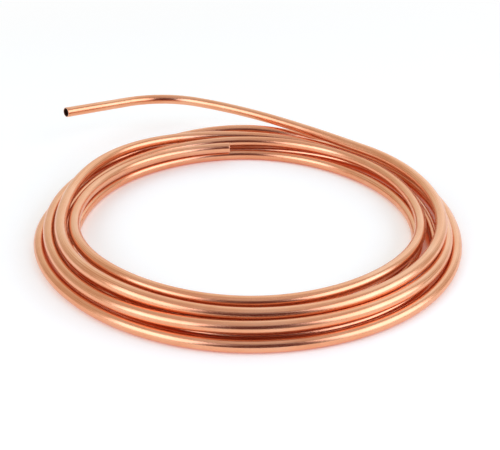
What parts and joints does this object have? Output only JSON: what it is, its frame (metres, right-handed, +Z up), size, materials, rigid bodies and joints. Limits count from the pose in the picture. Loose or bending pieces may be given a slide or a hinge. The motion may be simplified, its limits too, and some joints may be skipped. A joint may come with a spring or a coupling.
{
  "type": "copper tube coil",
  "caption": "Coil of bright soft copper tube lying flat, its loose turns piled on each other, one cut end tucked inside and the free end swept out in an open bend.",
  "frame": {"origin": "on the coil's axis, at the floor it lies on", "axes": "+Z up along the coil's axis; the straight free end points along -X and 6 degrees up"},
  "size_m": [0.2959, 0.3548, 0.0389],
  "materials": {
    "copper": null
  },
  "bodies": {
    "root": {"copper_tube": "copper"}
  },
  "joints": []
}
